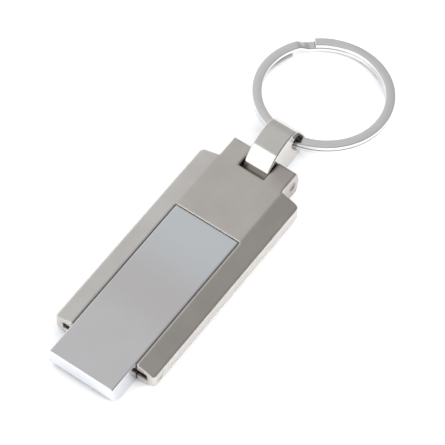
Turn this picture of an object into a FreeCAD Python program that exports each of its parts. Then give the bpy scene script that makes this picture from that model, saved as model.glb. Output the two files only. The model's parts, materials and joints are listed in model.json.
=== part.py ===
import FreeCAD, Part
import math
import os
import re
import Sketcher

# A USB flash drive carried in a metal key-ring holder. The drive is a slim metal
# block that slides between the two arms of the holder on side guides, and its USB
# plug parks in a lined pocket inside the holder's plate. A link on a cross pin
# joins the holder to a split key ring.
#
# Frame, in millimetres: the origin is the middle of the plate's underside, on the
# face that rests on a table. +Y points from the plate towards the key ring, the
# arms point along -Y, and +Z is up.

os.makedirs("parts", exist_ok=True)

doc = FreeCAD.newDocument("usb_drive_with_holder")
sheet = doc.addObject("Spreadsheet::Sheet", "Sizes")

SIZES = {
    # Holder: a plate with two arms on one side and two hinge ears on the other.
    "holder_width": 24.5,
    "holder_height": 6.3,
    "flat_width": 15.8,          # flat middle between the sloping side facets
    "facet_drop": 1.52,
    "plate_length": 14.8,
    "arm_length": 34.7,
    "shoulder_round": 1.0,
    "arm_end_round": 0.7,
    "edge_round": 0.2,
    "ear_width": 15.6,           # across both ears
    "ear_length": 5.3,
    "ear_bulge_radius": 6.0,
    "slot_width": 6.4,
    "slot_setback": 0.2,
    # Grooves in the arms that guide the drive.
    "groove_height": 2.2,
    "groove_depth": 2.5,
    "groove_stop": 1.6,
    # Pocket for the plug, with its plastic liner.
    "pocket_width": 13.5,
    "pocket_height": 5.2,
    "pocket_depth": 12.8,
    "liner_wall": 0.4,
    "plug_clearance": 0.05,
    # Hinge pin and detent studs.
    "pin_radius": 1.0,
    "pin_setback": 3.9,
    "pin_recess": 0.1,
    "stud_radius": 1.0,
    "stud_setback": 2.0,
    "stud_nose": 0.3,
    "stud_recess": 0.08,
    # Drive case.
    "case_side_gap": 0.125,
    "case_end_gap": 0.2,
    "case_height": 6.2,
    "case_length": 42.1,
    "case_front_round": 2.8,
    "case_edge_round": 0.22,
    "cavity_width": 14.2,
    "cavity_height": 4.9,
    "cavity_length": 39.6,
    # Plastic guide strips on the sides of the case.
    "strip_height": 1.9,
    "strip_inset": 0.35,
    "strip_reach": 2.15,
    "strip_start": 2.0,
    "strip_length": 29.3,
    # USB type A plug, at its standard size.
    "plug_width": 12.0,
    "plug_height": 4.5,
    "plug_reach": 12.0,
    "plug_root": 6.75,
    "plug_sheet": 0.3,
    "plug_corner": 0.5,
    "window_width": 2.5,
    "window_length": 2.0,
    "window_spacing": 4.5,
    "window_from_tip": 6.4,
    "tongue_height": 1.85,
    "tongue_tip_gap": 0.5,
    "insulator_width": 11.3,
    "insulator_root": 5.0,
    "contact_width": 1.0,
    "contact_height": 0.2,
    "contact_tip_gap": 1.2,
    "contact_tail": 2.2,
    "bezel_length": 1.6,
    "bezel_recess": 0.1,
    # Circuit board and what is soldered to it.
    "board_width": 13.4,
    "board_length": 32.0,
    "board_height": 0.8,
    "board_gap": 0.1,
    "controller_side": 6.0,
    "controller_height": 0.9,
    "memory_width": 12.0,
    "memory_length": 18.0,
    "memory_height": 1.0,
    "chip_length": 1.6,
    "chip_width": 0.8,
    "capacitor_height": 0.8,
    "resistor_height": 0.45,
    # Plastic tray and lid that hold the board in the case.
    "tray_width": 14.1,
    "tray_length": 31.9,
    "tray_floor": 0.5,
    "tray_wall": 0.3,
    "tray_ledge": 1.25,
    "tray_front_gap": 0.65,
    # Link between the holder and the key ring.
    "link_width": 6.1,
    "link_bore_radius": 1.05,
    "link_crown_setback": 5.85,  # from the pin to the highest point
    "link_crown_height": 9.9,
    "link_arch_radius": 9.5,
    "link_shoulder_radius": 4.6,
    "link_face_slope": 62.7,     # degrees, of the flat far face
    "link_face_length": 2.6,
    "link_edge_round": 0.35,
    "eye_setback": 9.1,
    "eye_height": 3.97,
    "eye_radius": 1.8,
    "eye_lift": 2.0,
    "eye_shift": -1.0,
    # Split ring: a flat wire with two coils.
    "ring_outer_radius": 15.0,
    "ring_inner_radius": 12.95,
    "ring_coil_height": 1.03,
    "ring_coil_gap": 0.06,
    "ring_seat": 0.16,           # the wire sits this far outwards of the eye's middle
    "ring_tilt": 5.72,           # degrees down from the eye to the far side
    "ring_yaw": 1.46,            # degrees to the left
    "ring_roll": -1.0,           # degrees down on the left
    "ring_top_end": 130.6,       # degrees round the ring, from +X towards +Y
    "ring_ramp_top": 147.5,
    "ring_ramp_bottom": 135.0,
    "ring_bottom_end": 153.0,
}

for row, (alias, value) in enumerate(SIZES.items(), start=1):
    cell = "A%d" % row
    sheet.set(cell, str(value))
    sheet.setAlias(cell, alias)
doc.recompute()

# Formulas that several pieces share, in terms of the sheet's aliases.
HALF = "holder_height / 2"
SHOULDER_Y = "plate_length / 2"
MOUTH_Y = "(-plate_length / 2)"
ARM_END_Y = "(-plate_length / 2 - arm_length)"
PIN_Y = "(plate_length / 2 + pin_setback)"
CASE_Y = "(-plate_length / 2 - case_end_gap)"
CASE_WIDTH = "(flat_width - 2 * case_side_gap)"
BOARD_TOP = "(holder_height / 2 - plug_height / 2 + plug_sheet + tongue_height)"
BOARD_Y = "(-plate_length / 2 - case_end_gap - plug_root - board_gap)"
NAMES = re.compile(r"\b(" + "|".join(sorted(SIZES, key=len, reverse=True)) + r")\b")


def formula(text):
    """The text with each alias pointing at the sheet."""
    return NAMES.sub(r"Sizes.\1", str(text))


def number(text):
    """The present value of a formula."""
    value = sheet.evalExpression(formula(text))
    return float(getattr(value, "Value", value))


def bind(target, prop, text):
    target.setExpression(prop, formula(text))


# ---- PartDesign helpers -------------------------------------------------------

def new_body(name):
    body = doc.addObject("PartDesign::Body", name)
    body.Label = name
    return body


def new_sketch(body, plane, lift="0"):
    """A sketch on one of the body's own origin planes, lifted along its normal."""
    sketch = body.newObject("Sketcher::SketchObject", body.Name + "_sketch")
    support = [o for o in body.Origin.OriginFeatures if o.Role == plane][0]
    sketch.AttachmentSupport = [(support, "")]
    sketch.MapMode = "FlatFace"
    bind(sketch, "AttachmentOffset.Base.z", lift)
    return sketch


def fix_point(sketch, edge, end, place):
    """Ties one end of an edge, or a circle's centre, to a place given by two formulas."""
    for kind, text in zip(("DistanceX", "DistanceY"), place):
        constraint = Sketcher.Constraint(kind, -1, 1, edge, end, number(text))
        index = sketch.addConstraint(constraint)
        bind(sketch, "Constraints[%d]" % index, text)


def draw_outline(sketch, corners):
    """A closed outline. A corner is (x, y), or (x, y, radius) where the edge that
    leaves it is an arc that bulges outwards, on a counter-clockwise outline."""
    first = sketch.GeometryCount
    points = [FreeCAD.Vector(number(c[0]), number(c[1]), 0) for c in corners]
    count = len(corners)
    for i, corner in enumerate(corners):
        start, finish = points[i], points[(i + 1) % count]
        if len(corner) == 2:
            sketch.addGeometry(Part.LineSegment(start, finish), False)
            continue
        radius = number(corner[2])
        chord = finish - start
        outward = FreeCAD.Vector(chord.y, -chord.x, 0).normalize()
        rise = radius - math.sqrt(max(radius ** 2 - (chord.Length / 2) ** 2, 0))
        middle = (start + finish) * 0.5 + outward * rise
        sketch.addGeometry(Part.Arc(start, middle, finish), False)
        index = sketch.addConstraint(Sketcher.Constraint("Radius", first + i, radius))
        bind(sketch, "Constraints[%d]" % index, corner[2])
    for i in range(count):
        after = (i + 1) % count
        sketch.addConstraint(Sketcher.Constraint("Coincident", first + i, 2, first + after, 1))
    for i, corner in enumerate(corners):
        fix_point(sketch, first + i, 1, corner[:2])


def draw_rectangle(sketch, x_low, x_high, y_low, y_high):
    draw_outline(sketch, [(x_low, y_low), (x_high, y_low), (x_high, y_high), (x_low, y_high)])


def draw_circle(sketch, x, y, radius):
    middle = FreeCAD.Vector(number(x), number(y), 0)
    edge = sketch.addGeometry(Part.Circle(middle, FreeCAD.Vector(0, 0, 1), number(radius)), False)
    index = sketch.addConstraint(Sketcher.Constraint("Radius", edge, number(radius)))
    bind(sketch, "Constraints[%d]" % index, radius)
    fix_point(sketch, edge, 3, (x, y))


def pad(body, sketch, length, symmetric=False, backwards=False):
    feature = body.newObject("PartDesign::Pad", body.Name + "_pad")
    feature.Profile = sketch
    feature.SideType = "Symmetric" if symmetric else "One side"
    feature.Reversed = backwards
    bind(feature, "Length", length)
    doc.recompute()
    return feature


def pocket(body, sketch, length, symmetric=False, backwards=False):
    """A pocket, which must take material away."""
    before = body.Shape.Volume
    feature = body.newObject("PartDesign::Pocket", body.Name + "_pocket")
    feature.Profile = sketch
    feature.SideType = "Symmetric" if symmetric else "One side"
    feature.Reversed = backwards
    bind(feature, "Length", length)
    doc.recompute()
    if body.Shape.Volume > before - 1e-3:
        raise RuntimeError("a pocket in %s cuts nothing" % body.Label)
    return feature


def edges_where(shape, test):
    """Names of the edges whose middle point and end-to-end vector pass the test."""
    names = []
    for index, edge in enumerate(shape.Edges, start=1):
        middle = edge.valueAt((edge.FirstParameter + edge.LastParameter) / 2)
        reach = edge.Vertexes[-1].Point - edge.Vertexes[0].Point
        if test(middle, reach):
            names.append("Edge%d" % index)
    return names


def round_edges(body, test, radius):
    base = body.Tip
    names = edges_where(base.Shape, test)
    if not names:
        raise RuntimeError("no edge to round in %s" % body.Label)
    feature = body.newObject("PartDesign::Fillet", body.Name + "_fillet")
    feature.Base = (base, names)
    bind(feature, "Radius", radius)
    doc.recompute()
    return feature


# ---- Part helpers -------------------------------------------------------------

def box(name, x, y, z):
    """A box between formulas: x, y and z are (low, high) pairs."""
    solid = doc.addObject("Part::Box", name)
    for prop, axis, (low, high) in (("Length", "x", x), ("Width", "y", y), ("Height", "z", z)):
        bind(solid, prop, "(%s) - (%s)" % (high, low))
        bind(solid, "Placement.Base." + axis, low)
    return solid


def across(width):
    """The (low, high) pair of something centred on X = 0."""
    return ("-(%s) / 2" % width, "(%s) / 2" % width)


def about(middle, size):
    return ("(%s) - (%s) / 2" % (middle, size), "(%s) + (%s) / 2" % (middle, size))


def cut(name, base, tools):
    tool = tools[0]
    if len(tools) > 1:
        tool = doc.addObject("Part::MultiFuse", name + "_tools")
        tool.Shapes = tools
    result = doc.addObject("Part::Cut", name)
    result.Base = base
    result.Tool = tool
    return result


def group(name, members):
    result = doc.addObject("Part::Compound", name)
    result.Links = members
    return result


# ---- Holder -------------------------------------------------------------------

def make_holder_frame():
    """Plate, arms and ears in one casting."""
    body = new_body("holder_frame")
    section = new_sketch(body, "XZ_Plane", "-plate_length / 2")
    side, flat = "holder_width / 2", "flat_width / 2"
    low, high = "facet_drop", "holder_height - facet_drop"
    draw_outline(section, [
        ("-" + flat, "0"), (flat, "0"), (side, low), (side, high),
        (flat, "holder_height"), ("-" + flat, "holder_height"), ("-" + side, high), ("-" + side, low)])
    pad(body, section, "plate_length + arm_length")

    opening = new_sketch(body, "XY_Plane", "holder_height")
    draw_rectangle(opening, "-" + flat, flat, ARM_END_Y, MOUTH_Y)
    pocket(body, opening, "holder_height")

    def is_outer_corner(middle, reach):
        return abs(reach.z) > 1 and abs(abs(middle.x) - number(side)) < 0.01

    def at_shoulder(middle, reach):
        return is_outer_corner(middle, reach) and abs(middle.y - number(SHOULDER_Y)) < 0.01

    def at_arm_end(middle, reach):
        return is_outer_corner(middle, reach) and abs(middle.y - number(ARM_END_Y)) < 0.01

    round_edges(body, at_shoulder, "shoulder_round")
    round_edges(body, at_arm_end, "arm_end_round")
    round_edges(body, lambda middle, reach: True, "edge_round")

    ears = new_sketch(body, "YZ_Plane")
    root, tip = SHOULDER_Y + " - 1", SHOULDER_Y + " + ear_length"
    draw_outline(ears, [(root, "0"), (tip, "0", "ear_bulge_radius"), (tip, "holder_height"),
                        (root, "holder_height")])
    pad(body, ears, "ear_width", symmetric=True)

    slot = new_sketch(body, "XY_Plane", "holder_height")
    draw_rectangle(slot, *across("slot_width"), SHOULDER_Y + " + slot_setback", SHOULDER_Y + " + 9")
    pocket(body, slot, "holder_height")

    def on_ear(middle, reach):
        return middle.y > number(SHOULDER_Y + " + 0.6")

    round_edges(body, on_ear, "edge_round")

    grooves = new_sketch(body, "XY_Plane", HALF + " + groove_height / 2")
    reach = "flat_width / 2 + groove_depth"
    draw_rectangle(grooves, "-(%s)" % reach, reach, ARM_END_Y, MOUTH_Y + " - groove_stop")
    pocket(body, grooves, "groove_height")

    plug_pocket = new_sketch(body, "XZ_Plane", "plate_length / 2")
    draw_rectangle(plug_pocket, *across("pocket_width"), *about(HALF, "pocket_height"))
    pocket(body, plug_pocket, "pocket_depth")

    bores = new_sketch(body, "YZ_Plane")
    draw_circle(bores, PIN_Y, HALF, "pin_radius")
    pocket(body, bores, "ear_width", symmetric=True)
    stud_bores = new_sketch(body, "YZ_Plane")
    draw_circle(stud_bores, ARM_END_Y + " + stud_setback", HALF, "stud_radius")
    pocket(body, stud_bores, "holder_width", symmetric=True)
    return body


def make_pocket_liner():
    """A thin plastic sleeve, closed at its inner end, that grips the plug's shell."""
    outer = box("liner_outer", across("pocket_width"), (MOUTH_Y, MOUTH_Y + " + pocket_depth"),
                about(HALF, "pocket_height"))
    inner = box("liner_inner", across("plug_width + 2 * plug_clearance"),
                (MOUTH_Y + " - 1", MOUTH_Y + " + pocket_depth - liner_wall"),
                about(HALF, "plug_height + 2 * plug_clearance"))
    return cut("pocket_liner", outer, [inner])


def make_hinge_pin():
    pin = doc.addObject("Part::Cylinder", "pin_rod")
    bind(pin, "Radius", "pin_radius")
    bind(pin, "Height", "ear_width - 2 * pin_recess")
    pin.Placement.Rotation = FreeCAD.Rotation(FreeCAD.Vector(0, 1, 0), 90)
    bind(pin, "Placement.Base.x", "-ear_width / 2 + pin_recess")
    bind(pin, "Placement.Base.y", PIN_Y)
    bind(pin, "Placement.Base.z", HALF)
    doc.recompute()
    ends = doc.addObject("Part::Chamfer", "hinge_pin")
    ends.Base = pin
    ends.Edges = [(1, 0.15, 0.15), (3, 0.15, 0.15)]
    return ends


def make_detent_studs():
    """Two short studs, one in each arm, whose noses stand in the grooves."""
    studs = []
    for name, way in (("right_stud", 1), ("left_stud", -1)):
        wall = "(holder_width - flat_width) / 2 - groove_depth - stud_recess"
        shank = doc.addObject("Part::Cylinder", name + "_shank")
        bind(shank, "Radius", "stud_radius")
        bind(shank, "Height", wall)
        nose = doc.addObject("Part::Cone", name + "_nose")
        bind(nose, "Radius1", "stud_radius")
        bind(nose, "Radius2", "stud_radius / 2")
        bind(nose, "Height", "stud_nose")
        starts = (shank, "holder_width / 2 - stud_recess"), (nose, "flat_width / 2 + groove_depth")
        for solid, start in starts:
            solid.Placement.Rotation = FreeCAD.Rotation(FreeCAD.Vector(0, -way, 0), 90)
            bind(solid, "Placement.Base.x", "%d * (%s)" % (way, start))
            bind(solid, "Placement.Base.y", ARM_END_Y + " + stud_setback")
            bind(solid, "Placement.Base.z", HALF)
        stud = doc.addObject("Part::Fuse", name)
        stud.Base = shank
        stud.Tool = nose
        studs.append(stud)
    return group("detent_studs", studs)


# ---- Drive --------------------------------------------------------------------

def make_drive_case():
    """A deep metal sleeve, closed and rounded below at its outer end."""
    body = new_body("drive_case")
    outline = new_sketch(body, "XZ_Plane", "plate_length / 2 + case_end_gap")
    draw_rectangle(outline, *across(CASE_WIDTH), *about(HALF, "case_height"))
    pad(body, outline, "case_length")
    outer_y = number(CASE_Y + " - case_length")
    low_z = number(HALF + " - case_height / 2")
    high_z = number(HALF + " + case_height / 2")

    def at_lower_front(middle, reach):
        return abs(middle.y - outer_y) < 0.01 and abs(middle.z - low_z) < 0.01

    round_edges(body, at_lower_front, "case_front_round")

    def on_outline(middle, reach):
        along = abs(reach.y) > 20
        upper_front = abs(middle.y - outer_y) < 0.01 and abs(middle.z - high_z) < 0.01
        return along or upper_front

    round_edges(body, on_outline, "case_edge_round")

    cavity = new_sketch(body, "XZ_Plane", "plate_length / 2 + case_end_gap")
    draw_rectangle(cavity, *across("cavity_width"), *about(HALF, "cavity_height"))
    pocket(body, cavity, "cavity_length", backwards=True)

    for way in (1, -1):
        seat = new_sketch(body, "XY_Plane", HALF + " + strip_height / 2")
        wall = CASE_WIDTH + " / 2"
        sides = ["%s - strip_inset" % wall, "%s + 1" % wall]
        if way < 0:
            sides = ["-(%s)" % text for text in reversed(sides)]
        draw_rectangle(seat, *sides, CASE_Y + " - strip_start - strip_length", CASE_Y + " - strip_start")
        pocket(body, seat, "strip_height")
    return body


def make_guide_strip(name, way):
    """A plastic strip that runs in one arm's groove."""
    wall = CASE_WIDTH + " / 2"
    sides = ("%s - strip_inset" % wall, "%s + strip_reach" % wall)
    if way < 0:
        sides = tuple("-(%s)" % text for text in reversed(sides))
    return box(name, sides, (CASE_Y + " - strip_start - strip_length", CASE_Y + " - strip_start"),
               about(HALF, "strip_height"))


def make_plug_shell():
    """The plug's folded sheet shell, with its four latch windows."""
    body = new_body("plug_shell")
    outline = new_sketch(body, "XZ_Plane", "-(%s + plug_reach)" % CASE_Y)
    draw_rectangle(outline, *across("plug_width"), *about(HALF, "plug_height"))
    pad(body, outline, "plug_reach + plug_root")

    def along(middle, reach):
        return abs(reach.y) > 5

    round_edges(body, along, "plug_corner")
    bore = new_sketch(body, "XZ_Plane", "-(%s + plug_reach)" % CASE_Y)
    draw_rectangle(bore, *across("plug_width - 2 * plug_sheet"),
                   *about(HALF, "plug_height - 2 * plug_sheet"))
    pocket(body, bore, "plug_reach + plug_root", backwards=True)
    for way in (1, -1):
        window = new_sketch(body, "XY_Plane", HALF + " + plug_height")
        tip = CASE_Y + " + plug_reach - window_from_tip"
        middle = "%d * window_spacing / 2" % way
        draw_rectangle(window, *about(middle, "window_width"), tip, tip + " + window_length")
        pocket(body, window, "2 * plug_height")
    return body


def make_plug_contacts():
    """Four spring contacts on the tongue, with tails on the board."""
    bars = []
    for index, middle in enumerate((-3.5, -1.0, 1.0, 3.5), start=1):
        bars.append(box("contact_%d" % index, about(middle, "contact_width"),
                        (BOARD_Y + " - contact_tail", CASE_Y + " + plug_reach - contact_tip_gap"),
                        (BOARD_TOP, BOARD_TOP + " + contact_height")))
    return group("plug_contacts", bars)


def make_plug_insulator(contacts):
    """The plastic root and tongue, slotted for the contacts."""
    floor = HALF + " - plug_height / 2 + plug_sheet"
    back = CASE_Y + " - plug_root"
    root = box("insulator_root_block", across("insulator_width"), (back, back + " + insulator_root"),
               (floor, HALF + " + plug_height / 2 - plug_sheet"))
    tongue = box("insulator_tongue", across("insulator_width"),
                 (back, CASE_Y + " + plug_reach - tongue_tip_gap"), (floor, BOARD_TOP))
    whole = doc.addObject("Part::Fuse", "insulator_whole")
    whole.Base = root
    whole.Tool = tongue
    return cut("plug_insulator", whole, [contacts])


def make_plug_bezel():
    """A plastic frame that closes the case round the plug."""
    span = (CASE_Y + " - bezel_recess - bezel_length", CASE_Y + " - bezel_recess")
    frame = box("bezel_block", across("cavity_width"), span, about(HALF, "cavity_height"))
    hole = box("bezel_hole", across("plug_width"), (span[0] + " - 1", span[1] + " + 1"),
               about(HALF, "plug_height"))
    return cut("plug_bezel", frame, [hole])


def make_board_tray():
    """The lower half of the carrier, with ledges under the board's edges."""
    front = BOARD_Y + " + board_gap - tray_front_gap"
    back = front + " - tray_length"
    floor = HALF + " - cavity_height / 2"
    board_under = BOARD_TOP + " - board_height"
    block = box("tray_block", across("tray_width"), (back, front), (floor, BOARD_TOP))
    seat = box("tray_seat", across("board_width"), (back + " + tray_wall", front + " + 1"),
               (board_under, BOARD_TOP + " + 1"))
    well = box("tray_well", across("board_width - 2 * tray_ledge"),
               (back + " + 2 * tray_wall", front + " + 1"), (floor + " + tray_floor", BOARD_TOP + " + 1"))
    return cut("board_tray", block, [seat, well])


def make_board_lid():
    """The upper half of the carrier, open towards the plug."""
    front = BOARD_Y + " + board_gap - tray_front_gap"
    back = front + " - tray_length"
    roof = HALF + " + cavity_height / 2"
    block = box("lid_block", across("tray_width"), (back, front), (BOARD_TOP, roof))
    well = box("lid_well", across("tray_width - 4 * tray_wall"),
               (back + " + 2 * tray_wall", front + " + 1"), (BOARD_TOP + " - 1", roof + " - tray_floor"))
    return cut("board_lid", block, [well])


def make_circuit_board():
    return box("circuit_board", across("board_width"), (BOARD_Y + " - board_length", BOARD_Y),
               (BOARD_TOP + " - board_height", BOARD_TOP))


def on_board(name, x, from_front, width, length, height):
    """A component standing on the board, its middle this far behind the board's front."""
    return box(name, about(x, width), about("%s - %s" % (BOARD_Y, from_front), length),
               (BOARD_TOP, "%s + %s" % (BOARD_TOP, height)))


def make_components():
    on_board("controller_chip", -1.5, 7.4, "controller_side", "controller_side", "controller_height")
    on_board("memory_chip", 0, 21.4, "memory_width", "memory_length", "memory_height")
    on_board("crystal", 4.4, 5.4, 3.2, 2.5, 0.8)
    on_board("voltage_regulator", 4.4, 8.6, 2.9, 1.3, 1.1)
    capacitors = [(-5.6, 3.6), (-5.6, 5.6), (-5.6, 7.6), (-5.6, 9.6), (3.6, 10.8), (5.6, 3.2)]
    resistors = [(-1.5, 3.4), (1.0, 3.4), (-3.9, 3.4), (5.6, 10.8), (3.4, 3.2)]
    for title, places, height in (("capacitors", capacitors, "capacitor_height"),
                                  ("resistors", resistors, "resistor_height")):
        chips = []
        for index, (x, from_front) in enumerate(places, start=1):
            chip = on_board("%s_%d" % (title, index), x, from_front, "chip_width", "chip_length", height)
            chips.append(chip)
        group(title, chips)


# ---- Link and key ring --------------------------------------------------------

def make_link():
    """A solid link: a flat foot, an arched back, a pin bore and an eye for the ring.

    Its back is one large arc that starts tangent to the round hub and ends at the
    crown, where a smaller arc turns it down into the flat far face. A last arc
    joins that face to the foot."""
    body = new_body("link")
    crown_y = number(PIN_Y + " + link_crown_setback")
    crown_z = number("link_crown_height")
    pin_y, pin_z = number(PIN_Y), number(HALF)
    arch, shoulder = number("link_arch_radius"), number("link_shoulder_radius")
    arch_z = crown_z - arch
    reach = math.hypot(crown_y - pin_y, pin_z - arch_z)
    hub = arch - reach
    touch = (crown_y - arch * (crown_y - pin_y) / reach, arch_z + arch * (pin_z - arch_z) / reach)
    foot_z = pin_z - hub
    slope = math.radians(number("link_face_slope"))
    out = (math.sin(slope), math.cos(slope))
    face_top = (crown_y + shoulder * out[0], crown_z - shoulder + shoulder * out[1])
    face_low = (face_top[0] + number("link_face_length") * out[1],
                face_top[1] - number("link_face_length") * out[0])
    toe = (face_low[1] - foot_z) / (1 + out[1])
    toe_end = (face_low[0] - toe * out[0], foot_z)
    sketch = new_sketch(body, "YZ_Plane")
    draw_outline(sketch, [
        (pin_y, foot_z), (toe_end[0], foot_z, toe), face_low, (face_top[0], face_top[1], shoulder),
        (crown_y, crown_z, arch), (touch[0], touch[1], hub)])
    pad(body, sketch, "link_width", symmetric=True)

    def on_flank(middle, reach):
        return abs(abs(middle.x) - number("link_width / 2")) < 0.01

    round_edges(body, on_flank, "link_edge_round")
    bore = new_sketch(body, "YZ_Plane")
    draw_circle(bore, PIN_Y, HALF, "link_bore_radius")
    pocket(body, bore, "2 * link_width", symmetric=True)
    eye = new_sketch(body, "YZ_Plane")
    length = math.hypot(number("eye_lift"), number("eye_shift"))
    sideways = (number("eye_lift") / length, -number("eye_shift") / length)
    low = (number(PIN_Y + " + eye_setback"), number("eye_height"))
    high = (low[0] + number("eye_shift"), low[1] + number("eye_lift"))
    radius = number("eye_radius")
    round_end = radius * 1.0001    # a hair over a true half circle, which the sketch can solve
    corners = []
    for middle, way, arc in ((low, 1, False), (high, 1, True), (high, -1, False), (low, -1, True)):
        place = (middle[0] + way * radius * sideways[0], middle[1] + way * radius * sideways[1])
        corners.append(place + (round_end,) if arc else place)
    draw_outline(eye, corners)
    pocket(body, eye, "2 * link_width", symmetric=True)
    return body


def make_split_ring():
    """Two flat coils of one wire, joined by a short ramp, with two square-cut ends."""
    outer, inner = number("ring_outer_radius"), number("ring_inner_radius")
    height, gap = number("ring_coil_height"), number("ring_coil_gap")
    step = height + gap

    def coil(low, start, finish):
        """A flat coil between two angles, turning clockwise from start to finish."""
        corners = (inner, low), (outer, low), (outer, low + height), (inner, low + height), (inner, low)
        wire = Part.makePolygon([FreeCAD.Vector(across, 0, up) for across, up in corners])
        face = Part.Face(wire)
        face.rotate(FreeCAD.Vector(), FreeCAD.Vector(0, 0, 1), finish)
        return face.revolve(FreeCAD.Vector(), FreeCAD.Vector(0, 0, 1), start - finish)

    def section(angle, low):
        turn = math.radians(angle)
        way = FreeCAD.Vector(math.cos(turn), math.sin(turn), 0)
        corners = [way * inner, way * outer]
        floor = [point + FreeCAD.Vector(0, 0, low) for point in corners]
        roof = [point + FreeCAD.Vector(0, 0, low + height) for point in reversed(corners)]
        return Part.makePolygon(floor + roof + floor[:1])

    ramp_top, ramp_bottom = number("ring_ramp_top"), number("ring_ramp_bottom")
    bottom = -height - gap / 2
    upper = coil(gap / 2, number("ring_top_end"), ramp_top - 360)
    lower = coil(bottom, ramp_bottom, number("ring_bottom_end") - 360)
    sections = []
    steps = 8
    for index in range(steps + 1):
        part = index / steps
        ease = part * part * (3 - 2 * part)
        sections.append(section(ramp_top + (ramp_bottom - ramp_top) * part, bottom + step * (1 - ease)))
    ramp = Part.makeLoft(sections, True, True)
    shape = upper.fuse([lower, ramp]).removeSplitter()
    solid = shape.Solids[0] if len(shape.Solids) == 1 else shape
    feature = doc.addObject("Part::Feature", "split_ring")
    feature.Shape = solid
    middle = (outer + inner) / 2 - number("ring_seat")
    turn = FreeCAD.Rotation(FreeCAD.Vector(0, 0, 1), number("ring_yaw"))
    turn = turn * FreeCAD.Rotation(FreeCAD.Vector(1, 0, 0), -number("ring_tilt"))
    turn = turn * FreeCAD.Rotation(FreeCAD.Vector(0, 1, 0), number("ring_roll"))
    eye = FreeCAD.Vector(0, number(PIN_Y + " + eye_setback"), number("eye_height"))
    feature.Placement = FreeCAD.Placement(eye + turn.multVec(FreeCAD.Vector(0, middle, 0)), turn)
    return feature


# ---- The whole ----------------------------------------------------------------

make_holder_frame()
make_pocket_liner()
make_hinge_pin()
make_detent_studs()
make_drive_case()
make_guide_strip("right_guide_strip", 1)
make_guide_strip("left_guide_strip", -1)
make_plug_shell()
make_plug_insulator(make_plug_contacts())
make_plug_bezel()
make_board_tray()
make_board_lid()
make_circuit_board()
make_components()
make_link()
make_split_ring()
doc.recompute()

NODES = [
    "holder_frame", "pocket_liner", "hinge_pin", "detent_studs",
    "drive_case", "right_guide_strip", "left_guide_strip", "plug_bezel", "plug_shell", "plug_insulator",
    "plug_contacts", "board_tray", "board_lid", "circuit_board", "controller_chip", "memory_chip",
    "crystal", "voltage_regulator", "capacitors", "resistors",
    "link", "split_ring",
]

for item in doc.Objects:
    if "Invalid" in item.State or "Error" in item.State:
        raise RuntimeError("%s failed: %s" % (item.Label, item.State))
for name in NODES:
    shape = doc.getObject(name).Shape
    if shape.isNull() or not shape.isValid():
        raise RuntimeError("%s has no valid shape" % name)
for name in NODES:
    item = doc.getObject(name)
    item.Label = name
    item.Shape.exportStep("parts/%s.step" % name)
    bounds = item.Shape.BoundBox
    print("%-18s %d solid(s) volume %9.3f  x %.2f..%.2f  y %.2f..%.2f  z %.2f..%.2f" % (
        name, len(item.Shape.Solids), item.Shape.Volume, bounds.XMin, bounds.XMax,
        bounds.YMin, bounds.YMax, bounds.ZMin, bounds.ZMax))
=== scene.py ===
import json
import math

import bmesh
import bpy
from mathutils import Matrix, Vector


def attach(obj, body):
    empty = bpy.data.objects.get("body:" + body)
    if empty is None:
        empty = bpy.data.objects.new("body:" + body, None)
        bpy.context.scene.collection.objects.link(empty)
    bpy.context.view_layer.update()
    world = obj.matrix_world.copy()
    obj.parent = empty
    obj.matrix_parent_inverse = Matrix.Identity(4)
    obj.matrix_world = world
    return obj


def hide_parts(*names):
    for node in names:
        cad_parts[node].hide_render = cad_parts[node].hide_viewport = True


# The looks of a USB drive in a metal key-ring holder. Every piece keeps its CAD mesh, except the split
# ring, which is swept here as a wire with rounded corners and two plain ends.

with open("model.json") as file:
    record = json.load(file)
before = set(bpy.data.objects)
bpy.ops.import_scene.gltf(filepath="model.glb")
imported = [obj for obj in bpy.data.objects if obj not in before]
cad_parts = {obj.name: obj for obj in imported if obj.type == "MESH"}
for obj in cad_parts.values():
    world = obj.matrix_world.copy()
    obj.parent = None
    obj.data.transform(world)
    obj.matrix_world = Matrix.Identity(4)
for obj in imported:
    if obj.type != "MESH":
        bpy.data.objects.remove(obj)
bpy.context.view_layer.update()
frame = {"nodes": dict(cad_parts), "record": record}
nodes = frame["nodes"]
record = frame["record"]
scene = bpy.context.scene
scene.view_settings.view_transform = "Standard"
MM = 0.001


def entry(rows, name):
    """The row of the record with this name."""
    return next(row for row in rows if row["name"] == name)


# ---- Node trees -------------------------------------------------------------

NOISE_ROUGHNESS = 0.55


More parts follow.
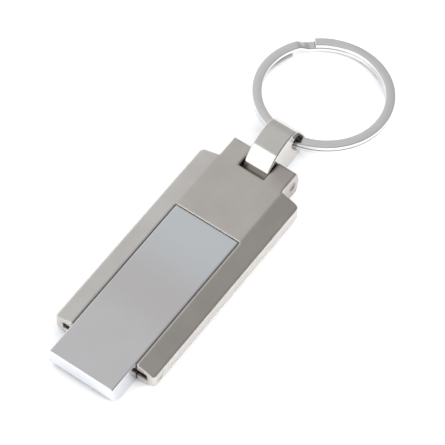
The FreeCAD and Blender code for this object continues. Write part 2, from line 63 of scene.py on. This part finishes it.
class Graph:
    """Short names for building a node tree."""

    def __init__(self, tree):
        self.tree = tree

    def node(self, kind, **settings):
        made = self.tree.nodes.new(kind)
        for name, value in settings.items():
            setattr(made, name, value)
        return made

    def link(self, source, target):
        self.tree.links.new(source, target)

    def feed(self, socket, value):
        """Links a socket, or sets a plain value."""
        if isinstance(value, bpy.types.NodeSocket):
            self.link(value, socket)
        else:
            socket.default_value = value

    def fill(self, made, *values):
        """Feeds a node's first inputs and returns its first output."""
        for socket, value in zip(made.inputs, values):
            self.feed(socket, value)
        return made.outputs[0]

    def math(self, operation, *values):
        return self.fill(self.node("ShaderNodeMath", operation=operation), *values)

    def vector(self, operation, *values):
        return self.fill(self.node("ShaderNodeVectorMath", operation=operation), *values)

    def length(self, vector):
        made = self.node("ShaderNodeVectorMath", operation="LENGTH")
        self.link(vector, made.inputs[0])
        return made.outputs["Value"]

    def ramp(self, value, low, high, to_low=0.0, to_high=1.0):
        """A smooth step of a value from one range to another."""
        made = self.node("ShaderNodeMapRange", interpolation_type="SMOOTHSTEP")
        return self.fill(made, value, low, high, to_low, to_high)

    def mix(self, share, a, b):
        """Mixes two colours. A Mix node keeps its colour sockets at inputs 6 and 7 and output 2."""
        made = self.node("ShaderNodeMix", data_type="RGBA")
        for index, value in ((0, share), (6, a), (7, b)):
            self.feed(made.inputs[index], value)
        return made.outputs[2]

    def coordinates(self, kind):
        return self.node("ShaderNodeTexCoord").outputs[kind]

    def split(self, vector):
        """The x, y and z of a vector."""
        made = self.node("ShaderNodeSeparateXYZ")
        self.link(vector, made.inputs[0])
        return made.outputs

    def noise(self, vector, scale, detail=3.0, stretch=(1, 1, 1)):
        mapping = self.node("ShaderNodeMapping")
        mapping.inputs["Scale"].default_value = stretch
        self.link(vector, mapping.inputs["Vector"])
        made = self.node("ShaderNodeTexNoise")
        made.inputs["Scale"].default_value = scale
        made.inputs["Detail"].default_value = detail
        made.inputs["Roughness"].default_value = NOISE_ROUGHNESS
        self.link(mapping.outputs[0], made.inputs["Vector"])
        return made.outputs["Fac"]


# ---- Camera, floor and light ------------------------------------------------

CAMERA_AZIMUTH = 35.85       # degrees
CAMERA_ELEVATION = 57.57
CAMERA_DISTANCE = 0.6121
CAMERA_TARGET = Vector((0.00003, -0.00237, 0.0))
LENS, SENSOR = 242.7, 36.0   # millimetres
NEAR, FAR = 0.01, 20.0       # metres, like every other length here unless it says otherwise

# The studio's brightness by direction. It falls from left to right, and a little towards the back.
# Each edge is a pair: where an effect starts and where it is full, in x, y or z of the direction.
SKY_LEVEL, SKY_SLOPE = 0.565, -0.43
SKY_LOWEST, SKY_HIGHEST = 0.16, 0.76
BACK_DIP, BACK_EDGE_Y = 0.10, (0.5, 0.8)
LEFT_STRIP, LEFT_STRIP_EDGE_X = 0.9, (-0.86, -0.93)
SOFTBOX, SOFTBOX_EDGE_Y = 1.0, (-0.455, -0.485)
SOFTBOX_SIDES_X = ((0.0, -0.1), (-0.66, -0.56))
HORIZON_EDGE_Z = (0.16, 0.02)    # the studio turns white here, like the floor
WHITE = (1.0, 1.0, 1.0, 1.0)
LEFT_TINT, LEFT_TINT_EDGE_X = (0.975, 1.0, 1.03, 1.0), (-0.35, -0.75)

FLOOR_HALF = 3.0
FLOOR_DROP = 0.02 * MM       # keeps the floor clear of the holder's underside
FLOOR_COLOUR = (0.92, 0.93, 0.945, 1.0)

# Each light: name, place, size of its side, watts.
LIGHTS = (("overhead", (-0.1, 0.1, 0.9), 1.3, 7.0), ("key", (0.8, 0.05, 0.42), 0.6, 10.0))


def aim(thing, place, way):
    """Puts a camera or light at a place, looking along a direction."""
    thing.location = place
    thing.rotation_mode = "QUATERNION"
    thing.rotation_quaternion = way.to_track_quat("-Z", "Y")


def make_camera():
    data = bpy.data.cameras.new("camera")
    data.sensor_width = SENSOR
    data.lens = LENS
    data.clip_start, data.clip_end = NEAR, FAR
    camera = bpy.data.objects.new("camera", data)
    scene.collection.objects.link(camera)
    turn, lift = math.radians(CAMERA_AZIMUTH), math.radians(CAMERA_ELEVATION)
    back = Vector((math.sin(turn) * math.cos(lift), -math.cos(turn) * math.cos(lift), math.sin(lift)))
    aim(camera, CAMERA_TARGET + back * CAMERA_DISTANCE, -back)
    scene.camera = camera


def make_world():
    """A pale studio: grey overhead, brighter to the left, with a softbox in front on the left."""
    world = bpy.data.worlds.new("studio")
    scene.world = world
    world.use_nodes = True
    graph = Graph(world.node_tree)
    background = world.node_tree.nodes["Background"]
    x, y, z = graph.split(graph.coordinates("Generated"))
    level = graph.math("MULTIPLY_ADD", x, SKY_SLOPE, SKY_LEVEL)
    level = graph.math("SUBTRACT", level, graph.ramp(y, *BACK_EDGE_Y, 0.0, BACK_DIP))
    level = graph.math("MINIMUM", graph.math("MAXIMUM", level, SKY_LOWEST), SKY_HIGHEST)
    level = graph.math("ADD", level, graph.ramp(x, *LEFT_STRIP_EDGE_X, 0.0, LEFT_STRIP))
    softbox = graph.ramp(y, *SOFTBOX_EDGE_Y, 0.0, SOFTBOX)
    for side in SOFTBOX_SIDES_X:
        softbox = graph.math("MULTIPLY", softbox, graph.ramp(x, *side))
    level = graph.math("ADD", level, softbox)
    sweep = graph.ramp(z, *HORIZON_EDGE_Z)
    high = graph.math("MULTIPLY", level, graph.math("SUBTRACT", 1.0, sweep))
    graph.link(graph.math("ADD", high, sweep), background.inputs["Strength"])
    tint = graph.mix(graph.ramp(x, *LEFT_TINT_EDGE_X), WHITE, LEFT_TINT)
    graph.link(tint, background.inputs["Color"])


def make_floor():
    mesh = bpy.data.meshes.new("floor")
    corners = [(x * FLOOR_HALF, y * FLOOR_HALF, 0) for x, y in ((-1, -1), (1, -1), (1, 1), (-1, 1))]
    mesh.from_pydata(corners, [], [(0, 1, 2, 3)])
    floor = bpy.data.objects.new("floor", mesh)
    scene.collection.objects.link(floor)
    floor.location.z = -FLOOR_DROP
    material = bpy.data.materials.new("floor_white")
    material.use_nodes = True
    shader = material.node_tree.nodes["Principled BSDF"]
    shader.inputs["Base Color"].default_value = FLOOR_COLOUR
    shader.inputs["Roughness"].default_value = 0.9
    shader.inputs["Specular IOR Level"].default_value = 0.1
    mesh.materials.append(material)


def make_light(name, place, size, watts):
    """A square soft light that looks at the origin and is left out of reflections."""
    data = bpy.data.lights.new(name, "AREA")
    data.shape = "SQUARE"
    data.size = size
    data.energy = watts
    light = bpy.data.objects.new(name, data)
    scene.collection.objects.link(light)
    aim(light, place, -Vector(place))
    light.visible_glossy = False
    light.visible_camera = False


# ---- Materials --------------------------------------------------------------

RELIEF = 0.02 * MM           # height of the bumps at full strength
METAL_BUMP = 0.5
SAMPLES = 12                 # of the nodes that round edges and find crevices
EYE_RADIUS = 1.8 * MM        # of the link's bore for the key ring
NOISE_RANGE = (0.3, 0.7)     # the middle values of a noise, which are spread out

# Noise scales, in waves per metre.
METAL_CLOUD, METAL_GRAIN, METAL_HAIR = 140.0, 5200.0, 9000.0
PLASTIC_CLOUD, PLASTIC_GRAIN, CHIP_GRAIN = 260.0, 3500.0, 6000.0
HAIR_STRETCH = (1, 0.02, 1)  # draws the hairlines out along Y

GRAIN_SHADE, GRAIN_WEIGHT = 0.82, 4
# Painted shade in crevices: how dark it gets, and the occlusion range over which it fades in.
CREVICE_SHADE, CREVICE_RANGE = 0.10, (0.15, 0.75)
PLASTIC_MOTTLE, PLASTIC_SPREAD = 0.08, 0.10
PLASTIC_SPECULAR = 0.45


class Material:
    """A material with its node tree, its main shader and the piece's own coordinates."""

    def __init__(self, name, metallic):
        self.data = bpy.data.materials.new(name)
        self.data.use_nodes = True
        self.graph = Graph(self.data.node_tree)
        self.inputs = self.data.node_tree.nodes["Principled BSDF"].inputs
        self.inputs["Metallic"].default_value = metallic
        self.place = self.graph.coordinates("Object")

    def set(self, name, value):
        self.graph.link(value, self.inputs[name])

    def current(self, name):
        """What feeds one of the shader's inputs so far."""
        return self.inputs[name].links[0].from_socket

    def cover(self, share, colour):
        """Lays a colour over the present one, by a share from 0 to 1."""
        self.set("Base Color", self.graph.mix(share, self.current("Base Color"), colour + (1.0,)))

    def bump(self, height, strength):
        made = self.graph.node("ShaderNodeBump")
        made.inputs["Strength"].default_value = strength
        made.inputs["Distance"].default_value = RELIEF
        self.graph.link(height, made.inputs["Height"])
        self.set("Normal", made.outputs[0])
        return made


def shade(colour, factor):
    return tuple(min(1.0, c * factor) for c in colour) + (1.0,)


def clouded(graph, cloud, colour, mottle):
    """A colour that drifts a little darker and lighter."""
    return graph.mix(graph.ramp(cloud, *NOISE_RANGE), shade(colour, 1 - mottle), shade(colour, 1 + mottle))


def uneven(graph, noise, middle, spread):
    """A value that drifts about its middle."""
    return graph.ramp(noise, *NOISE_RANGE, middle - spread / 2, middle + spread / 2)


def metal(name, colour, roughness, spread=0.06, mottle=0.04, grain=0.02, brush=0.0, soften=0.0, painted_crevice_shade=0.0):
    """Satin or polished metal: a cloudy tone, fine grain, and hairlines along Y.

    Soften rounds the edges by that radius. The crevice reach paints shade on what lies within that distance
    of another surface.
    """
    made = Material(name, 1.0)
    graph = made.graph
    cloud = graph.noise(made.place, METAL_CLOUD, detail=4.0)
    fine = graph.noise(made.place, METAL_GRAIN, detail=2.0)
    hair = graph.noise(made.place, METAL_HAIR, detail=2.0, stretch=HAIR_STRETCH)
    tone = clouded(graph, cloud, colour, mottle)
    tone = graph.mix(graph.math("MULTIPLY", fine, GRAIN_WEIGHT * grain), tone, shade(colour, GRAIN_SHADE))
    # Painted shade: a darker colour where ambient occlusion finds another surface close by.
    if painted_crevice_shade:
        occlusion = graph.node("ShaderNodeAmbientOcclusion", samples=SAMPLES)
        occlusion.inputs["Distance"].default_value = painted_crevice_shade
        unshaded_share = graph.ramp(occlusion.outputs["AO"], *CREVICE_RANGE)
        tone = graph.mix(unshaded_share, shade(colour, CREVICE_SHADE), tone)
    made.set("Base Color", tone)
    both = graph.math("MULTIPLY_ADD", hair, 0.5, graph.math("MULTIPLY", cloud, 0.5))
    made.set("Roughness", uneven(graph, both, roughness, spread))
    height = graph.math("ADD", graph.math("MULTIPLY", fine, grain), graph.math("MULTIPLY", hair, brush))
    bump = made.bump(height, METAL_BUMP)
    if soften:
        bend = graph.node("ShaderNodeBevel", samples=SAMPLES)
        bend.inputs["Radius"].default_value = soften
        graph.link(bend.outputs[0], bump.inputs["Normal"])
    return made


def plastic(name, colour, roughness, grain=0.4, scale=PLASTIC_GRAIN):
    """Moulded plastic with a fine spark-eroded texture."""
    made = Material(name, 0.0)
    made.inputs["Specular IOR Level"].default_value = PLASTIC_SPECULAR
    graph = made.graph
    fine = graph.noise(made.place, scale)
    cloud = graph.noise(made.place, PLASTIC_CLOUD)
    made.set("Base Color", clouded(graph, cloud, colour, PLASTIC_MOTTLE))
    made.set("Roughness", uneven(graph, fine, roughness, PLASTIC_SPREAD))
    made.bump(fine, grain)
    return made


def holder_material():
    """Satin nickel, with painted shade that makes the right hinge ear a little darker."""
    made = metal("holder_satin_nickel", (0.618, 0.586, 0.550), 0.34, brush=0.25, soften=0.8 * MM)
    graph = made.graph
    # Painted shade: a darker colour laid over the right hinge ear.
    ear_shade_place = graph.split(made.place)
    right = graph.ramp(ear_shade_place["X"], 2.0 * MM, 5.5 * MM)
    far = graph.ramp(ear_shade_place["Y"], 5.5 * MM, 10.5 * MM)
    made.cover(graph.math("MULTIPLY", right, far), (0.50, 0.463, 0.435))
    return made


def case_material():
    """The drive's case: satin above and below, smoother sides, and painted reflection: a darker middle, a
    cool cast towards the plug, and lighter, cooler sides.
    """
    made = metal("case_satin", (0.70, 0.69, 0.70), 0.3, spread=0.02, mottle=0.015, grain=0.0,
                 soften=0.55 * MM)
    graph = made.graph
    along = graph.split(made.place)["Y"]
    # Painted reflection: a darker tone over the middle of the case and a cool cast towards the plug.
    made.cover(graph.ramp(along, -38 * MM, -28 * MM), (0.655, 0.638, 0.645))
    made.cover(graph.ramp(along, -27 * MM, -12 * MM), (0.70, 0.735, 0.76))
    # Painted reflection: the sides get a lighter, cooler colour than the top and bottom. The lower roughness
    # on the sides is the real polish.
    facing = graph.split(graph.coordinates("Normal"))["Z"]
    flat = graph.ramp(graph.math("ABSOLUTE", facing), 0.6, 0.95)
    side_reflection_colour = (0.715, 0.72, 0.75, 1.0)
    made.set("Base Color", graph.mix(flat, side_reflection_colour, made.current("Base Color")))
    smoother = graph.math("MULTIPLY_ADD", flat, 0.5, 0.5)
    made.set("Roughness", graph.math("MULTIPLY", made.current("Roughness"), smoother))
    return made


def link_material():
    """Polished nickel with a faint haze and painted shade in its crevices. The bore for the key ring is
    shaded as a pale non-metal, which paints light into the hole.
    """
    made = metal("link_nickel", (0.665, 0.645, 0.615), 0.10, spread=0.06, mottle=0.05, grain=0.005,
                 painted_crevice_shade=0.5 * MM)
    graph = made.graph
    eye = entry(record["behaviour"]["joints"], "ring_swing")["pos_m"]
    # Painted light: the bore is a pale non-metal, so the hole shows lighter than a metal bore would.
    beside = graph.vector("MULTIPLY", graph.vector("SUBTRACT", made.place, eye), (0, 1, 1))
    bore = graph.ramp(graph.length(beside), EYE_RADIUS + 0.12 * MM, EYE_RADIUS + 0.02 * MM)
    made.set("Metallic", graph.math("SUBTRACT", 1.0, bore))
    made.cover(bore, (0.72, 0.68, 0.65))
    return made


def board_material():
    """Green solder mask with faint tracks under it."""
    mask = (0.03, 0.20, 0.09)
    made = plastic("board_mask", mask, 0.3, grain=0.2)
    graph = made.graph
    tracks = graph.node("ShaderNodeTexBrick")
    for name, value in (("Scale", 420.0), ("Color1", mask + (1.0,)), ("Color2", (0.035, 0.23, 0.10, 1.0)),
                        ("Mortar", (0.06, 0.32, 0.15, 1.0)), ("Mortar Size", 0.04)):
        tracks.inputs[name].default_value = value
    graph.link(made.place, tracks.inputs["Vector"])
    made.set("Base Color", graph.mix(0.7, made.current("Base Color"), tracks.outputs["Color"]))
    return made


def ring_material():
    """Plated steel wire, darker towards the lower coil's cut end, with painted shade in its crevices."""
    made = metal("ring_steel", (0.755, 0.75, 0.745), 0.2, spread=0.1, mottle=0.03, brush=0.1,
                 painted_crevice_shade=0.45 * MM)
    # A darker colour laid over the wire towards the lower coil's cut end.
    darkening = made.graph.node("ShaderNodeAttribute", attribute_name="darkening").outputs["Fac"]
    made.cover(made.graph.ramp(darkening, 0.0, 0.6), (0.34, 0.315, 0.30))
    return made


def paint(material, *names):
    for name in names:
        materials = nodes[name].data.materials
        materials.clear()
        materials.append(material.data)


# ---- Key ring ---------------------------------------------------------------

KEY_RING = entry(record["mounts"], "key_ring")
RING_OUTER = 15.0 * MM
RING_INNER = 12.95 * MM
COIL_HEIGHT = 1.03 * MM
COIL_GAP = 0.06 * MM
WIRE_ROUND = 0.17 * MM       # radius of the wire's own corners
CORNER_STEPS = 4
END_ROUND = 0.08 * MM        # bevel of the wire's cut ends
# Degrees from here on: the lean of the whole ring, then angles round it, which run from +X to +Y.
RING_TILT, RING_YAW, RING_ROLL = 5.72, 1.46, -1.0
TOP_END, BOTTOM_END = 130.6, 153.0
RAMP_TOP, RAMP_BOTTOM = 147.5, 135.0
DARKENING_REACH = 38.0            # how far the darker part reaches from the lower coil's end
COARSE_STEP, FINE_STEP = 2.0, 0.75
SHARP_ANGLE = 40.0


def wire_section(inset):
    """The wire's rounded outline, as (outwards, up) pairs about its middle."""
    half_width = (RING_OUTER - RING_INNER) / 2 - inset - WIRE_ROUND
    half_height = COIL_HEIGHT / 2 - inset - WIRE_ROUND
    points = []
    for corner, (across, up) in enumerate(((1, 1), (-1, 1), (-1, -1), (1, -1))):
        for step in range(CORNER_STEPS + 1):
            angle = math.radians(90 * (corner + step / CORNER_STEPS))
            points.append((across * half_width + WIRE_ROUND * math.cos(angle),
                           up * half_height + WIRE_ROUND * math.sin(angle)))
    return points


def ring_stations():
    """(angle in degrees, height of the wire's middle) from the top end to the bottom end, clockwise."""
    lift = (COIL_HEIGHT + COIL_GAP) / 2
    ramp_start = RAMP_TOP - 360
    ramp_finish = RAMP_BOTTOM - 360
    finish = BOTTOM_END - 720
    stations = []
    angle = TOP_END
    while angle > finish:
        share = min(1.0, max(0.0, (ramp_start - angle) / (ramp_start - ramp_finish)))
        ease = share * share * (3 - 2 * share)
        stations.append((angle, lift * (1 - 2 * ease)))
        on_ramp = ramp_finish - COARSE_STEP < angle < ramp_start + COARSE_STEP
        angle -= FINE_STEP if on_ramp else COARSE_STEP
    stations.append((finish, -lift))
    return stations


def make_ring_mesh():
    """The wire swept round both coils, lying flat about the origin, with its darkening towards the lower end
    as an attribute.
    """
    middle = (RING_OUTER + RING_INNER) / 2
    stations = ring_stations()
    (first_angle, first_height), (last_angle, last_height) = stations[0], stations[-1]
    step_in = math.degrees(END_ROUND / middle)
    rows = [(first_angle, first_height, END_ROUND), (first_angle - step_in, first_height, 0.0)]
    rows += [(angle, height, 0.0) for angle, height in stations[1:-1]]
    rows += [(last_angle + step_in, last_height, 0.0), (last_angle, last_height, END_ROUND)]
    mesh = bmesh.new()
    darkening = mesh.verts.layers.float.new("darkening")
    loops = []
    for angle, height, inset in rows:
        way = Vector((math.cos(math.radians(angle)), math.sin(math.radians(angle)), 0))
        loop = [mesh.verts.new(way * (middle + across) + Vector((0, 0, height + up)))
                for across, up in wire_section(inset)]
        for vert in loop:
            vert[darkening] = max(0.0, 1 - (angle - last_angle) / DARKENING_REACH)
        loops.append(loop)
    count = len(loops[0])
    for first, second in zip(loops, loops[1:]):
        for i in range(count):
            after = (i + 1) % count
            mesh.faces.new((first[i], first[after], second[after], second[i]))
    mesh.faces.new(list(reversed(loops[0])))
    mesh.faces.new(loops[-1])
    bmesh.ops.recalc_face_normals(mesh, faces=mesh.faces)
    for face in mesh.faces:
        face.smooth = True
    data = bpy.data.meshes.new("key_ring_wire")
    mesh.to_mesh(data)
    mesh.free()
    data.set_sharp_from_angle(angle=math.radians(SHARP_ANGLE))
    return data


def make_ring():
    data = make_ring_mesh()
    lean = Matrix.Translation(KEY_RING["pos_m"])
    for degrees, axis in ((RING_YAW, "Z"), (-RING_TILT, "X"), (RING_ROLL, "Y")):
        lean = lean @ Matrix.Rotation(math.radians(degrees), 4, axis)
    data.transform(lean)
    data.materials.append(ring_material().data)
    ring = bpy.data.objects.new("key_ring_wire", data)
    scene.collection.objects.link(ring)
    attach(ring, "ring")
    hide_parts("split_ring")


# ---- The whole --------------------------------------------------------------

make_camera()
make_world()
make_floor()
for light in LIGHTS:
    make_light(*light)

paint(holder_material(), "holder_frame")
paint(case_material(), "drive_case")
paint(link_material(), "link")
# The hinge pin is painted dark: painted shade for the recess round its end.
paint(metal("pin_steel", (0.30, 0.28, 0.27), 0.35, brush=0.3), "hinge_pin")
paint(metal("stud_steel", (0.60, 0.585, 0.56), 0.28, brush=0.3), "detent_studs")
paint(metal("plug_steel", (0.76, 0.76, 0.765), 0.16, brush=0.2), "plug_shell")
paint(metal("contact_gold", (0.86, 0.66, 0.30), 0.2, brush=0.2), "plug_contacts")
paint(metal("crystal_can", (0.74, 0.74, 0.73), 0.22), "crystal")
paint(plastic("black_moulded", (0.03, 0.03, 0.033), 0.5),
      "pocket_liner", "plug_bezel", "board_tray", "board_lid")
paint(plastic("guide_acetal", (0.09, 0.088, 0.085), 0.4), "right_guide_strip", "left_guide_strip")
paint(plastic("white_moulded", (0.82, 0.82, 0.80), 0.42), "plug_insulator")
paint(board_material(), "circuit_board")
paint(plastic("chip_epoxy", (0.035, 0.035, 0.038), 0.58, grain=0.7, scale=CHIP_GRAIN),
      "controller_chip", "memory_chip", "voltage_regulator", "resistors")
paint(plastic("capacitor_ceramic", (0.50, 0.38, 0.26), 0.5), "capacitors")
make_ring()
